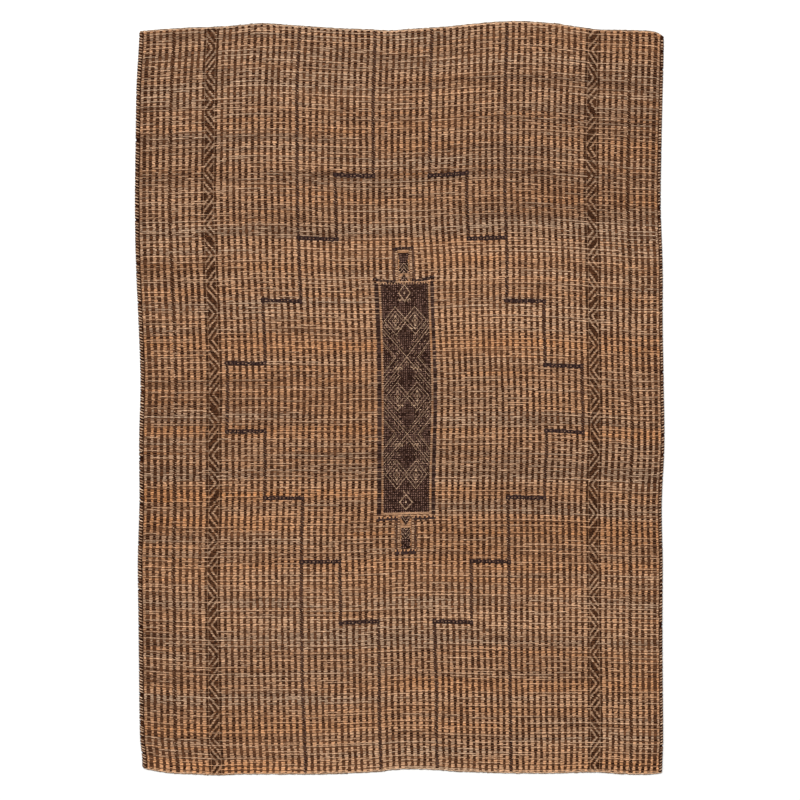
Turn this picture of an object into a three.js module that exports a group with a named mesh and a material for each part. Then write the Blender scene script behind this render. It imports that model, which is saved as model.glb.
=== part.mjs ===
// A jute rug, woven flat, with its two long edges overcast into a cord. Millimetres.
// +X runs across the rug, +Y along it to its far end, and +Z up. The underside lies flat on Z = 0.
import * as THREE from "three";

// Driving dimensions
const RUG_WIDTH = 1600; // over both edge cords, if the edges were straight
const RUG_LENGTH = 2277; // over both turned ends, if the ends were straight
const CLOTH_THICKNESS = 8; // from the floor to the crest of a rib
const RIB_COUNT = 83; // ribs side by side across the cloth, each running its whole length
const RIB_FACE = 10.7; // the level crest of a rib
const GROOVE_DEPTH = 1.6; // from the crest down to the bottom of the groove between two ribs
const EDGE_HEIGHT = 6.8; // the cloth's height where it meets an edge cord
const LEFT_CORD_WIDTH = 13; // an edge cord, seen from above
const RIGHT_CORD_WIDTH = 10;
const CORD_HEIGHT = 9.6;
const CLEARANCE = 0.3; // between the cloth and an edge cord
const ROW_COUNT = 12; // sections of the ribbed cloth along its length

// How far each long edge lies outside its straight line, and how far the middle ribs lie to the
// right of theirs, by the place along the rug.
const LONG_EDGES = [
  { along: -1138, left: -13, right: -1, middle: 20 },
  { along: -1100, left: -12, right: 0, middle: 20 },
  { along: -1042, left: -6, right: 2, middle: 20 },
  { along: -859, left: -3, right: 1, middle: 19 },
  { along: -676, left: -1, right: 0, middle: 17 },
  { along: -493, left: 1, right: 1, middle: 16 },
  { along: -310, left: -4, right: -2, middle: 15 },
  { along: -127, left: -3, right: 6, middle: 15 },
  { along: 56, left: -7, right: 4, middle: 14 },
  { along: 239, left: -1, right: 1, middle: 13 },
  { along: 422, left: 7, right: 1, middle: 12 },
  { along: 605, left: 10, right: -5, middle: 10 },
  { along: 788, left: 8, right: -3, middle: 8 },
  { along: 971, left: 5, right: 1, middle: 6 },
  { along: 1093, left: -2, right: 4, middle: 5 },
  { along: 1138, left: -4, right: 4, middle: 4 },
];

// How far each end lies beyond its straight line, by the place across the rug.
// The far end has two humps with a dip between them, and its right corner is rounded off.
const ENDS = [
  { across: -800, near: -6, far: -20 },
  { across: -762, near: 1, far: -16 },
  { across: -716, near: 8, far: -13 },
  { across: -640, near: 11, far: -8 },
  { across: -594, near: 14, far: -7 },
  { across: -503, near: 11, far: -1 },
  { across: -434, near: 11, far: 5 },
  { across: -366, near: 11, far: 1 },
  { across: -274, near: 11, far: -5 },
  { across: -183, near: 8, far: -11 },
  { across: -92, near: 3, far: -14 },
  { across: -45, near: -3, far: -17 },
  { across: 0, near: -5, far: -14 },
  { across: 92, near: -2, far: -8 },
  { across: 137, near: 2, far: -5 },
  { across: 229, near: 5, far: 5 },
  { across: 321, near: 8, far: 11 },
  { across: 367, near: 8, far: 11 },
  { across: 458, near: 8, far: 5 },
  { across: 549, near: 5, far: -8 },
  { across: 595, near: 5, far: -14 },
  { across: 687, near: 11, far: -16 },
  { across: 770, near: 11, far: -20 },
  { across: 800, near: 7, far: -32 },
];

// How far the rug's corners are rounded off, across it.
const CORNERS = [
  { side: "left", end: "near", rounding: 12 },
  { side: "right", end: "near", rounding: 4 },
  { side: "left", end: "far", rounding: 3 },
  { side: "right", end: "far", rounding: 14 },
];

// The turned end from its outer rim inwards, with the share of the corners' rounding that each row
// takes. Its yarns close over the cords' ends, and the ribs and the cords begin at the last row,
// which has no height of its own.
const TURNED_END = [
  { inset: 0, height: 4.5, rounded: 1, overCords: true },
  { inset: 3, height: 8.8, rounded: 0.35, overCords: true },
  { inset: 9, height: 8, rounded: 0, overCords: true },
  { inset: 9.6, height: null, rounded: 0, overCords: false },
];

// An edge cord cut across, from the foot of its face against the cloth, outwards and back over the
// top, as shares of its width and height. It is flat underneath.
const CORD_SECTION = [
  { out: 0, up: 0 },
  { out: 0.8, up: 0 },
  { out: 1, up: 0.3 },
  { out: 1, up: 0.62 },
  { out: 0.8, up: 0.9 },
  { out: 0.5, up: 1 },
  { out: 0.2, up: 0.9 },
  { out: 0, up: 0.68 },
];

// The height at a place on the smooth curve through one column of a table.
function onCurve(table, placeColumn, valueColumn, place) {
  const last = table.length - 1;
  const at = THREE.MathUtils.clamp(place, table[0][placeColumn], table[last][placeColumn]);
  let i = 0;
  while (i < last - 1 && table[i + 1][placeColumn] < at) i += 1;
  const slopeAt = (k) => {
    const before = table[Math.max(k - 1, 0)];
    const after = table[Math.min(k + 1, last)];
    return (after[valueColumn] - before[valueColumn]) / (after[placeColumn] - before[placeColumn]);
  };
  const step = table[i + 1][placeColumn] - table[i][placeColumn];
  const t = (at - table[i][placeColumn]) / step;
  const start = table[i][valueColumn] * (1 + 2 * t) * (1 - t) ** 2;
  const end = table[i + 1][valueColumn] * (3 - 2 * t) * t ** 2;
  return start + end + step * (slopeAt(i) * t * (1 - t) ** 2 - slopeAt(i + 1) * (1 - t) * t ** 2);
}

// Where a place on the straight rug lies on the real one.
function onRug(across, along) {
  const right = across / RUG_WIDTH + 0.5;
  const far = along / RUG_LENGTH + 0.5;
  const leftShift = -onCurve(LONG_EDGES, "along", "left", along);
  const rightShift = onCurve(LONG_EDGES, "along", "right", along);
  const middleShift = onCurve(LONG_EDGES, "along", "middle", along) * 4 * right * (1 - right);
  const nearShift = -onCurve(ENDS, "across", "near", across);
  const farShift = onCurve(ENDS, "across", "far", across);
  return {
    x: across + THREE.MathUtils.lerp(leftShift, rightShift, right) + middleShift,
    y: along + THREE.MathUtils.lerp(nearShift, farShift, far),
  };
}

// The columns of the cloth, from left to right: a rib's two shoulders, then the next groove.
function clothColumns() {
  const leftEdge = LEFT_CORD_WIDTH + CLEARANCE - RUG_WIDTH / 2;
  const rightEdge = RUG_WIDTH / 2 - RIGHT_CORD_WIDTH - CLEARANCE;
  const grooveWidth = (rightEdge - leftEdge - RIB_COUNT * RIB_FACE) / (RIB_COUNT - 1);
  const columns = [];
  for (let rib = 0; rib < RIB_COUNT; rib += 1) {
    const start = leftEdge + rib * (RIB_FACE + grooveWidth);
    columns.push({ across: start, height: CLOTH_THICKNESS });
    columns.push({ across: start + RIB_FACE, height: CLOTH_THICKNESS });
    const groove = start + RIB_FACE + grooveWidth / 2;
    columns.push({ across: groove, height: CLOTH_THICKNESS - GROOVE_DEPTH });
  }
  columns.pop();
  columns[0].height = EDGE_HEIGHT;
  columns[columns.length - 1].height = EDGE_HEIGHT;
  return columns;
}

// The rows of the cloth, from the near end to the far one.
function clothRows() {
  const half = RUG_LENGTH / 2;
  const near = TURNED_END.map((row) => ({ ...row, end: "near", along: row.inset - half }));
  const far = TURNED_END.map((row) => ({ ...row, end: "far", along: half - row.inset })).reverse();
  const start = near[near.length - 1].along;
  const step = (far[0].along - start) / ROW_COUNT;
  const ribbed = [];
  for (let i = 1; i < ROW_COUNT; i += 1) {
    ribbed.push({ along: start + i * step, height: null, overCords: false });
  }
  return [...near, ...ribbed, ...far];
}

// Where a turned end reaches on one side, over the end of the edge cord.
function rimOf(row, side) {
  const corner = CORNERS.find((one) => one.side === side && one.end === row.end);
  const reach = RUG_WIDTH / 2 - corner.rounding * row.rounded;
  return side === "left" ? -reach : reach;
}

// A closed mesh's geometry, with its faces turned outwards.
function solidGeometry(points, faces) {
  const [a, b, c] = [new THREE.Vector3(), new THREE.Vector3(), new THREE.Vector3()];
  let volume = 0;
  for (const face of faces) {
    a.fromArray(points, 3 * face[0]);
    b.fromArray(points, 3 * face[1]);
    c.fromArray(points, 3 * face[2]);
    volume += a.dot(b.cross(c));
  }
  const outward = volume > 0 ? faces : faces.map((face) => [face[0], face[2], face[1]]);
  const geometry = new THREE.BufferGeometry();
  geometry.setAttribute("position", new THREE.Float32BufferAttribute(points, 3));
  geometry.setIndex(outward.flat());
  geometry.computeVertexNormals();
  return geometry;
}

// The cloth: a ribbed top, a wall round its outline, and a flat underside.
function clothGeometry() {
  const columns = clothColumns();
  const rows = clothRows();
  const points = [];
  const faces = [];
  const top = (column, row) => row * columns.length + column;
  for (const row of rows) {
    columns.forEach((column, i) => {
      let { across } = column;
      if (row.overCords && i === 0) across = rimOf(row, "left");
      if (row.overCords && i === columns.length - 1) across = rimOf(row, "right");
      const { x, y } = onRug(across, row.along);
      points.push(x, y, row.height ?? column.height);
    });
  }
  for (let row = 0; row < rows.length - 1; row += 1) {
    for (let column = 0; column < columns.length - 1; column += 1) {
      const corner = top(column + 1, row + 1);
      faces.push([top(column, row), top(column + 1, row), corner]);
      faces.push([top(column, row), corner, top(column, row + 1)]);
    }
  }
  const lastColumn = columns.length - 1;
  const lastRow = rows.length - 1;
  const outline = [];
  for (let i = 0; i < lastColumn; i += 1) outline.push(top(i, 0));
  for (let i = 0; i < lastRow; i += 1) outline.push(top(lastColumn, i));
  for (let i = lastColumn; i > 0; i -= 1) outline.push(top(i, lastRow));
  for (let i = lastRow; i > 0; i -= 1) outline.push(top(0, i));
  const floor = points.length / 3;
  for (const i of outline) points.push(points[3 * i], points[3 * i + 1], 0);
  outline.forEach((above, i) => {
    const next = (i + 1) % outline.length;
    faces.push([floor + i, floor + next, outline[next]]);
    faces.push([floor + i, outline[next], above]);
  });
  const flat = outline.map((i) => new THREE.Vector2(points[3 * i], points[3 * i + 1]));
  for (const [a, b, c] of THREE.ShapeUtils.triangulateShape(flat, [])) {
    const faceUp = flat[b].clone().sub(flat[a]).cross(flat[c].clone().sub(flat[a])) > 0;
    faces.push(faceUp ? [floor + a, floor + c, floor + b] : [floor + a, floor + b, floor + c]);
  }
  return solidGeometry(points, faces);
}

// The cord of one long edge, from the foot of one turned end to the other. A side of -1 is the left.
function cordGeometry(side, width) {
  const rows = clothRows().filter((row) => !row.overCords);
  const inner = RUG_WIDTH / 2 - width;
  const points = [];
  const faces = [];
  const ring = CORD_SECTION.length;
  for (const row of rows) {
    for (const { out, up } of CORD_SECTION) {
      const { x, y } = onRug(side * (inner + out * width), row.along);
      points.push(x, y, up * CORD_HEIGHT);
    }
  }
  for (let row = 0; row < rows.length - 1; row += 1) {
    for (let i = 0; i < ring; i += 1) {
      const here = row * ring + i;
      const beside = row * ring + ((i + 1) % ring);
      faces.push([here, beside, beside + ring]);
      faces.push([here, beside + ring, here + ring]);
    }
  }
  const farCap = (rows.length - 1) * ring;
  for (let i = 1; i < ring - 1; i += 1) {
    faces.push([0, i + 1, i]);
    faces.push([farCap, farCap + i, farCap + i + 1]);
  }
  return solidGeometry(points, faces);
}

function namedMesh(name, geometry, material) {
  const mesh = new THREE.Mesh(geometry, material);
  mesh.name = name;
  return mesh;
}

const juteWeave = new THREE.MeshStandardMaterial({ color: 0x82604a, roughness: 0.92, metalness: 0 });
const cordWrap = new THREE.MeshStandardMaterial({ color: 0x5c4232, roughness: 0.9, metalness: 0 });

const rug = new THREE.Group();
rug.add(namedMesh("rug_cloth", clothGeometry(), juteWeave));
rug.add(namedMesh("edge_cord_left", cordGeometry(-1, LEFT_CORD_WIDTH), cordWrap));
rug.add(namedMesh("edge_cord_right", cordGeometry(1, RIGHT_CORD_WIDTH), cordWrap));

// The origin is on the floor, under the middle of the rug's reach.
const middle = new THREE.Box3().setFromObject(rug).getCenter(new THREE.Vector3());
rug.position.set(-middle.x, -middle.y, 0);

export default rug;
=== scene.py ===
"""A flat-woven jute rug on a plain pale floor, seen from straight above.

The tables and the sizes of the rug are in millimetres, but for rows and columns of the photograph,
which are in its pixels. Points become metres where a mesh is made.
+X runs across the rug, +Y along it to its far end, and +Z up out of the woven face.
"""

import math

import bmesh
import bpy
import numpy as np
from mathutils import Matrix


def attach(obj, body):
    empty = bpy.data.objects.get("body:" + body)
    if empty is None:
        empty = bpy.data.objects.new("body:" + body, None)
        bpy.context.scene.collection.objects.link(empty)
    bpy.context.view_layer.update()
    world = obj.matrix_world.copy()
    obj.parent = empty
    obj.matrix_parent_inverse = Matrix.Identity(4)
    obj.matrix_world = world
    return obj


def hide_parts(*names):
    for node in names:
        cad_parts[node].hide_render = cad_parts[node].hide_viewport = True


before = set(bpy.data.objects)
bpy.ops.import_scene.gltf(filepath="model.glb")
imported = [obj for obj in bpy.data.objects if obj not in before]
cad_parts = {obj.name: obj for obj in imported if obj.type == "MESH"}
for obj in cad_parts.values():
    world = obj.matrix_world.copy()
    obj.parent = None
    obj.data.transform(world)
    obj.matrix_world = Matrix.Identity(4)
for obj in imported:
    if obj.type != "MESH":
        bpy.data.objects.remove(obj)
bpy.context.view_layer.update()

MM = 0.001

# The rug, as its solids have it
RUG_WIDTH = 1600.0  # over both edge cords, if the edges were straight
RUG_LENGTH = 2277.0  # over both turned ends, if the ends were straight
CLOTH_THICKNESS = 8.0  # from the floor to the crest of a rib
RIB_COUNT = 83
RIB_FACE = 10.7  # the level crest of a rib
LEFT_CORD_WIDTH = 13.0
RIGHT_CORD_WIDTH = 10.0
CORD_HEIGHT = 9.6
CLEARANCE = 0.3
PLAIN_END = 3.8  # the part of a turned end that the picks leave bare

# The photograph
MM_PER_PIXEL = 3.05
PHOTO_SIZE = 800
MIDDLE_COLUMN = 399.9  # the pixel that shows the middle of the straight rug
MIDDLE_ROW = 398.5

# How far each long edge lies outside its straight line, and how far the middle ribs lie to the
# right of theirs: along, left, right, middle.
LONG_EDGES = (
    (-1138, -13, -1, 20),
    (-1100, -12, 0, 20),
    (-1042, -6, 2, 20),
    (-859, -3, 1, 19),
    (-676, -1, 0, 17),
    (-493, 1, 1, 16),
    (-310, -4, -2, 15),
    (-127, -3, 6, 15),
    (56, -7, 4, 14),
    (239, -1, 1, 13),
    (422, 7, 1, 12),
    (605, 10, -5, 10),
    (788, 8, -3, 8),
    (971, 5, 1, 6),
    (1093, -2, 4, 5),
    (1138, -4, 4, 4),
)

# How far each end lies beyond its straight line: across, near, far.
ENDS = (
    (-800, -6, -20),
    (-762, 1, -16),
    (-716, 8, -13),
    (-640, 11, -8),
    (-594, 14, -7),
    (-503, 11, -1),
    (-434, 11, 5),
    (-366, 11, 1),
    (-274, 11, -5),
    (-183, 8, -11),
    (-92, 3, -14),
    (-45, -3, -17),
    (0, -5, -14),
    (92, -2, -8),
    (137, 2, -5),
    (229, 5, 5),
    (321, 8, 11),
    (367, 8, 11),
    (458, 8, 5),
    (549, 5, -8),
    (595, 5, -14),
    (687, 11, -16),
    (770, 11, -20),
    (800, 7, -32),
)

# How far the turned ends' corners are rounded off, across the rug.
CORNERS = {("left", "near"): 12, ("right", "near"): 4, ("left", "far"): 3, ("right", "far"): 14}

WAVE_SPAN = 100.0  # how far to each side an end's waves are evened out
WAVE_DEPTH = 250.0  # how deep in the cloth they grow gentle

# The weave
PICK_PITCH = 6.9  # one tan yarn and one dark yarn, along the rug
PICK_COUNT = round((RUG_LENGTH - 2 * PLAIN_END) / PICK_PITCH)
RIB_PITCH = 19.1  # about the step from rib to rib
GROUND_TOP = 4.6  # the cloth under the yarns that show
GROUND_INSET = 2.0  # how far it stops short of both ends
DOTTED_EXTRA = 2.8  # how much wider a dotted groove is than a plain one
MIDDLE_RIB = RIB_COUNT // 2

# The yarns of the field. A half width is that of a yarn, along the rug.
TAN_LENGTH = 5.4  # half of a tan yarn's length on its rib
TAN_WIDTH = 0.46  # its half width, in picks
TAN_FOOT = 5.2
TAN_PALENESS = 0.365
RUST = 0.18  # the usual share of rust in a tan yarn
DARK_WIDTH = 0.36  # a dark yarn's half width, in picks
LOW_FOOT = 4.2  # where the yarns in the grooves and in the charted parts start
DARK_CREST = 6.3
PLAIN_SHARE = 0.71  # of the places in the grooves, those that no tan yarn crosses
CROSSING_WIDTH = 1.1  # the half width of a tan yarn that crosses a groove
CROSSING_FOOT = 4.4
CROSSING_CREST = 8.2
CROSSING_PALENESS = 0.84

# The dotted grooves that run the whole length, in ribs from the middle rib.
LONG_DOTTED_LINE = 36.5

# The stepped line, on both sides of the middle: where its bars lie along the rug on the left and on
# the right, and the ribs that they run between, counted from the middle rib.
STEPS = (
    (688, 683, 4.5, 10.5),
    (492, 486, 10.5, 16.5),
    (301, 292, 16.5, 22.5),
    (111, 99, 22.5, 28.5),
    (-95, -99, 22.5, 28.5),
    (-298, -302, 16.5, 22.5),
    (-491, -496, 10.5, 16.5),
    (-678, -681, 4.5, 10.5),
    (363, 365, 1.5, 4.5),
    (-363, -363, 1.5, 4.5),
)
FINIAL_BARS = (464, -466)  # the bars over the two finials, from groove to groove across the middle

# The dotted joins between the bars: the groove, counted from the middle rib, and its two ends.
JOINS = (
    (4.5, 686, 1140),
    (10.5, 489, 686),
    (16.5, 297, 1140),
    (22.5, 105, 297),
    (28.5, -97, 105),
    (22.5, -300, -97),
    (16.5, -1140, -300),
    (10.5, -680, -493),
    (4.5, -1140, -680),
    (1.5, 364, 464),
    (1.5, -466, -363),
)

# The two side borders take the place of two ribs each, counted from the middle rib.
BORDER_RIBS = (30, 31)
BORDER_SLOPE = 1.3  # of its diagonal bars
# A dark triangle stands at each of these rows of the photograph, in turn against the border's one
# side and its other, read from enlarged pictures. The column is the border's own.
LEFT_COLUMN = 209.8
LEFT_TRIANGLE_ROWS = (
    50, 74.5, 101.5, 114, 142.5, 171, 197.5, 226, 256.5, 286, 315, 342.5, 370, 395.5, 427, 457,
    484.5, 514, 541.5, 571, 598.5, 626.5, 657.5, 684.5, 713, 739.5, 764.5,
)  # fmt: skip
RIGHT_COLUMN = 592.5
RIGHT_TRIANGLE_ROWS = (
    52, 79, 104, 119, 150, 177, 202, 231.5, 260, 289, 317, 346, 371.5, 398.5, 426, 455,
    485, 514, 545, 573.5, 598, 626, 655, 683.5, 710, 738.5, 766,
)  # fmt: skip
# How far beyond them one more triangle would stand, off the near end and off the far end of the
# cloth, where the bars between the two are cut off.
LEFT_BEYOND = (85, 85)
RIGHT_BEYOND = (84, 88)

# The dark panel in the middle, whose chart is drawn from these places along the rug
PANEL_NEAR = -350.0
PANEL_FAR = 361.0
LOZENGE_PAIRS = (242, 10, -231)
PANEL_RIBS = 4  # the ribs that it takes up on each side of the middle one
FINIAL_RIBS = 1  # and those that a finial takes up
CROSSINGS = (129, -106)
HEARTS = (134, 24, -101, -217)  # the tips of the plain dark hearts
SMALL_LOZENGES = ((327, 26, 17), (-314, 22, 20))  # the middle, and half the length and the width
SPECK_ROWS = ((306, 19), (96, 36), (218, 30), (-18, 32), (-139, 36), (-284, 9))  # and half of each
LOZENGE_SLOPE = 1.26
LOZENGE_SHIFT = 29.3  # of a pair of lozenges, from the middle line to each side
LOZENGE_RINGS = (43.5, 28.4, 12.5)  # half of each ring's length along the rug
LINE_SPACING = 12.0  # of the parallel lines, along the rug
SIDE_TRIANGLE = 41.0  # the lines between a crossing and the dark triangles beside it
CHEVRON_BRIGHTNESS = 0.62  # of the chevrons in the finials


def blurred(values, reach, axis):
    """The values, smoothed along one axis."""
    if reach <= 0:
        return values
    half = min(int(3 * reach) + 1, values.shape[axis] - 1)
    bell = np.exp(-0.5 * (np.arange(-half, half + 1) / reach) ** 2)
    margins = [(half, half) if i == axis else (0, 0) for i in range(values.ndim)]
    padded = np.pad(values, margins, mode="reflect")
    return np.apply_along_axis(lambda line: np.convolve(line, bell, "valid"), axis, padded)


def unevenness(seed, rows, columns, row_reach, column_reach):
    """Smooth chance values with a mean of 0 and a spread of 1."""
    values = np.random.default_rng(seed).normal(size=(rows, columns))
    values = blurred(blurred(values, row_reach, 0), column_reach, 1)
    return (values - values.mean()) / values.std()


def curve_through(table, column, place):
    """The height at a place on the smooth curve through one column of a table."""
    table = np.array(table, float)
    places, heights = table[:, 0], table[:, column]
    last = len(places) - 1
    at = np.clip(place, places[0], places[-1])
    i = np.clip(np.searchsorted(places, at) - 1, 0, last - 1)
    before = np.maximum(np.arange(last + 1) - 1, 0)
    after = np.minimum(np.arange(last + 1) + 1, last)
    slope = (heights[after] - heights[before]) / (places[after] - places[before])
    step = places[i + 1] - places[i]
    t = (at - places[i]) / step
    start = heights[i] * (1 + 2 * t) * (1 - t) ** 2
    end = heights[i + 1] * (3 - 2 * t) * t**2
    return start + end + step * (slope[i] * t * (1 - t) ** 2 - slope[i + 1] * (1 - t) * t**2)


def end_wave(column, across, depth):
    """The waves of one end, which are gentler the deeper in the cloth they are."""
    sharp = curve_through(ENDS, column, across)
    one_side = curve_through(ENDS, column, across - WAVE_SPAN)
    other_side = curve_through(ENDS, column, across + WAVE_SPAN)
    gentle = (sharp + (one_side + other_side)) / 3
    return gentle + (sharp - gentle) * np.exp(-depth / WAVE_DEPTH)


def on_rug(across, along, evened=1):
    """Where a place on the straight rug lies on the real one.

    The ends' waves even out towards the middle, or run on as they are where evened is 0.
    """
    right = across / RUG_WIDTH + 0.5
    far = along / RUG_LENGTH + 0.5
    left_shift = -curve_through(LONG_EDGES, 1, along)
    right_shift = curve_through(LONG_EDGES, 2, along)
    middle_shift = curve_through(LONG_EDGES, 3, along) * 4 * right * (1 - right)
    near_shift = -end_wave(1, across, evened * far * RUG_LENGTH)
    far_shift = end_wave(2, across, evened * (1 - far) * RUG_LENGTH)
    x = across + left_shift * (1 - right) + right_shift * right + middle_shift
    return x, along + near_shift * (1 - far) + far_shift * far


def rug_centre():
    """The middle of the rug's reach, which is the origin of its frame."""
    sides = np.linspace(-RUG_LENGTH / 2, RUG_LENGTH / 2, 400)
    ends = np.linspace(-RUG_WIDTH / 2, RUG_WIDTH / 2, 400)
    left, right = on_rug(-RUG_WIDTH / 2, sides)[0], on_rug(RUG_WIDTH / 2, sides)[0]
    near, far = on_rug(ends, -RUG_LENGTH / 2)[1], on_rug(ends, RUG_LENGTH / 2)[1]
    return (left.min() + right.max()) / 2, (near.min() + far.max()) / 2


CENTRE_X, CENTRE_Y = rug_centre()


def rows_along(column, rows, beyond):
    """The places along the straight rug of rows of the photograph, from the near end on.

    They are whole millimetres, with one more place beyond the first and the last.
    """
    y = (MIDDLE_ROW - np.array(rows)) * MM_PER_PIXEL
    x = np.full(len(y), (column - MIDDLE_COLUMN) * MM_PER_PIXEL)
    across, along = x, y
    for _ in range(30):
        at_x, at_y = on_rug(across, along, evened=0)
        across, along = across + x - at_x, along + y - at_y
    places = [round(float(place)) for place in along[::-1]]
    return (places[0] - beyond[0], *places, places[-1] + beyond[1])


LEFT_TRIANGLES = rows_along(LEFT_COLUMN, LEFT_TRIANGLE_ROWS, LEFT_BEYOND)
RIGHT_TRIANGLES = rows_along(RIGHT_COLUMN, RIGHT_TRIANGLE_ROWS, RIGHT_BEYOND)

# The yarns wander a little from their straight lines, more in the field than at its edges.
STEADY_EDGE = 14.0  # the rim in which they don't
WANDER_FADE = 40.0
WANDER_STEP = 20.0
WANDER_ROWS = round(RUG_LENGTH / WANDER_STEP) + 1
WANDER_COLUMNS = round(RUG_WIDTH / WANDER_STEP) + 1
wander_along = 0.6 * unevenness(11, WANDER_ROWS, WANDER_COLUMNS, 1.2, 3.5)
wander_along += 0.7 * unevenness(12, WANDER_ROWS, WANDER_COLUMNS, 8, 9)
wander_across = 0.8 * unevenness(13, WANDER_ROWS, WANDER_COLUMNS, 3, 1.2)


def read_grid(grid, row, column):
    """The value between the points of a grid, at a row and a column that may be fractions."""
    row = np.clip(row, 0, grid.shape[0] - 1.001)
    column = np.clip(column, 0, grid.shape[1] - 1.001)
    i, j = row.astype(int), column.astype(int)
    down, right = row - i, column - j
    top = grid[i, j] * (1 - right) + grid[i, j + 1] * right
    bottom = grid[i + 1, j] * (1 - right) + grid[i + 1, j + 1] * right
    return top * (1 - down) + bottom * down


def in_metres(across, along, height):
    """Points of the straight rug, in millimetres, as points of the real one."""
    row = (along + RUG_LENGTH / 2) / WANDER_STEP
    column = (across + RUG_WIDTH / 2) / WANDER_STEP
    from_edge = np.minimum(RUG_WIDTH / 2 - np.abs(across), RUG_LENGTH / 2 - np.abs(along))
    share = np.clip((from_edge - STEADY_EDGE) / WANDER_FADE, 0, 1)
    across = across + share * read_grid(wander_across, row, column)
    along = along + share * read_grid(wander_along, row, column)
    x, y = on_rug(across, along)
    return np.stack([x - CENTRE_X, y - CENTRE_Y, height + 0 * x], -1) * MM


# Where the picks lie along the rug, and where each rib lies across it at each pick.
pick_places = np.cumsum(1 + 0.13 * unevenness(21, PICK_COUNT, 1, 0.3, 0)[:, 0])
pick_places = (pick_places - 0.5) / pick_places[-1] - 0.5
pick_places = pick_places * (RUG_LENGTH - 2 * PLAIN_END)
pick_widths = np.gradient(pick_places)


def groove_at(side, from_middle):
    """The number of the groove on one side of the middle rib, from its place in ribs."""
    return round(MIDDLE_RIB - 0.5 + side * from_middle)


def dotted_grooves():
    """Which grooves are dotted at each pick."""
    dotted = np.zeros((PICK_COUNT, RIB_COUNT - 1), bool)
    for side in (-1, 1):
        dotted[:, groove_at(side, LONG_DOTTED_LINE)] = True
        for from_middle, near, far in JOINS:
            rows = (pick_places > near) & (pick_places < far)
            dotted[rows, groove_at(side, from_middle)] = True
    return dotted


def rib_places(dotted):
    """The middle of each rib at each pick, with the dotted grooves a little wider."""
    first = LEFT_CORD_WIDTH + CLEARANCE - RUG_WIDTH / 2 + RIB_FACE / 2
    last = RUG_WIDTH / 2 - RIGHT_CORD_WIDTH - CLEARANCE - RIB_FACE / 2
    extra = blurred(dotted * DOTTED_EXTRA, 3, 0) / blurred(np.ones(dotted.shape), 3, 0)
    plain = (last - first - extra.sum(1, keepdims=True)) / (RIB_COUNT - 1)
    steps = np.cumsum(extra + plain, 1)
    return np.hstack([np.full((PICK_COUNT, 1), first), first + steps])


dotted = dotted_grooves()
ribs = rib_places(dotted)


def rib_at(rib, along):
    """The middle of a rib at places along the rug. A rib that ends in .5 is a groove."""
    low, high = math.floor(rib), math.ceil(rib)
    at_low = np.interp(along, pick_places, ribs[:, low])
    at_high = np.interp(along, pick_places, ribs[:, high])
    return at_low + (at_high - at_low) * (rib - low)


# The shades of the yarns, which change along each pick and from one batch of picks to the next.
TONE_STEP = 10.0
TONE_COLUMNS = round(RUG_WIDTH / TONE_STEP) + 1


def shades(seed, in_pick, in_batch, in_field):
    """How one property of the yarn changes over the picks, by pick and by place across."""
    lots = unevenness(seed, PICK_COUNT, TONE_COLUMNS, 0.45, 7)
    batches = unevenness(seed + 1, PICK_COUNT, TONE_COLUMNS, 2.5, 16)
    fields = unevenness(seed + 2, PICK_COUNT, TONE_COLUMNS, 14, 30)
    return in_pick * lots + in_batch * batches + in_field * fields


tan_paleness = shades(31, 0.05, 0.03, 0.02)
tan_rust = shades(41, 0.055, 0.042, 0.03)
tan_rust += 0.055 * unevenness(44, PICK_COUNT, TONE_COLUMNS, 1.6, 90)
dark_paleness = shades(51, 0.09, 0.05, 0.03)
for whole_rows in (
    0.05 * unevenness(35, PICK_COUNT, TONE_COLUMNS, 0.3, 110),
    0.035 * unevenness(36, PICK_COUNT, TONE_COLUMNS, 5, 110),
):
    tan_paleness += whole_rows
    dark_paleness += whole_rows

# The near end is paler and rustier than the rest. The far end and the left edge are darker, and the
# far end is less rusty but for its right part. Everywhere, the paler tan yarn is the rustier.
towards_far = pick_places[:, None] * 2 / RUG_LENGTH
towards_left = np.linspace(1, -1, TONE_COLUMNS)[None, :]
trend = 0.15 * np.clip(-towards_far, 0, 1) ** 3 - 0.06 * np.clip(towards_far, 0, 1) ** 2
trend = trend - 0.08 * np.clip(towards_left, 0, 1) ** 6
tan_paleness += trend
dark_paleness += trend
tan_rust -= 0.1 * np.clip(towards_far, 0, 1) ** 3 * np.clip(towards_left + 0.5, 0, 1)
tan_rust += 0.05 * np.clip(-towards_far, 0, 1) ** 2
tan_rust += 0.4 * tan_paleness


def shade_at(grid, across, along):
    """The shade at places on the straight rug."""
    row = np.interp(along, pick_places, np.arange(PICK_COUNT))
    return read_grid(grid, row, (across + RUG_WIDTH / 2) / TONE_STEP)


# Yarns. Each is a dict of columns with one value for each yarn.
TAN, DARK, BROWN = 0, 1, 2  # BROWN is the field's dark yarn, among the panel's


def yarns(kind, across, along, half_length, half_width, foot, crest, paleness, rust=0.0, lean=0.0):
    """Many short yarns that lie across the rug. lean turns them from that."""
    columns = np.broadcast_arrays(
        kind, across, along, half_length, half_width, foot, crest, paleness, rust, lean
    )
    names = "kind across along half_length half_width foot crest paleness rust lean".split()
    return {name: np.ravel(column).astype(float) for name, column in zip(names, columns)}


def some(bundle, chosen):
    """The chosen yarns of a bundle."""
    return {name: column[chosen] for name, column in bundle.items()}


def gathered(bundles):
    """Several bundles of yarns as one."""
    return {name: np.concatenate([b[name] for b in bundles]) for name in bundles[0]}


def points_and_faces(bm):
    """The points and the faces of a bmesh, which is used up."""
    points = np.array([v.co for v in bm.verts], float)
    faces = np.array([[v.index for v in f.verts] for f in bm.faces], int)
    bm.free()
    return points, faces


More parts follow.
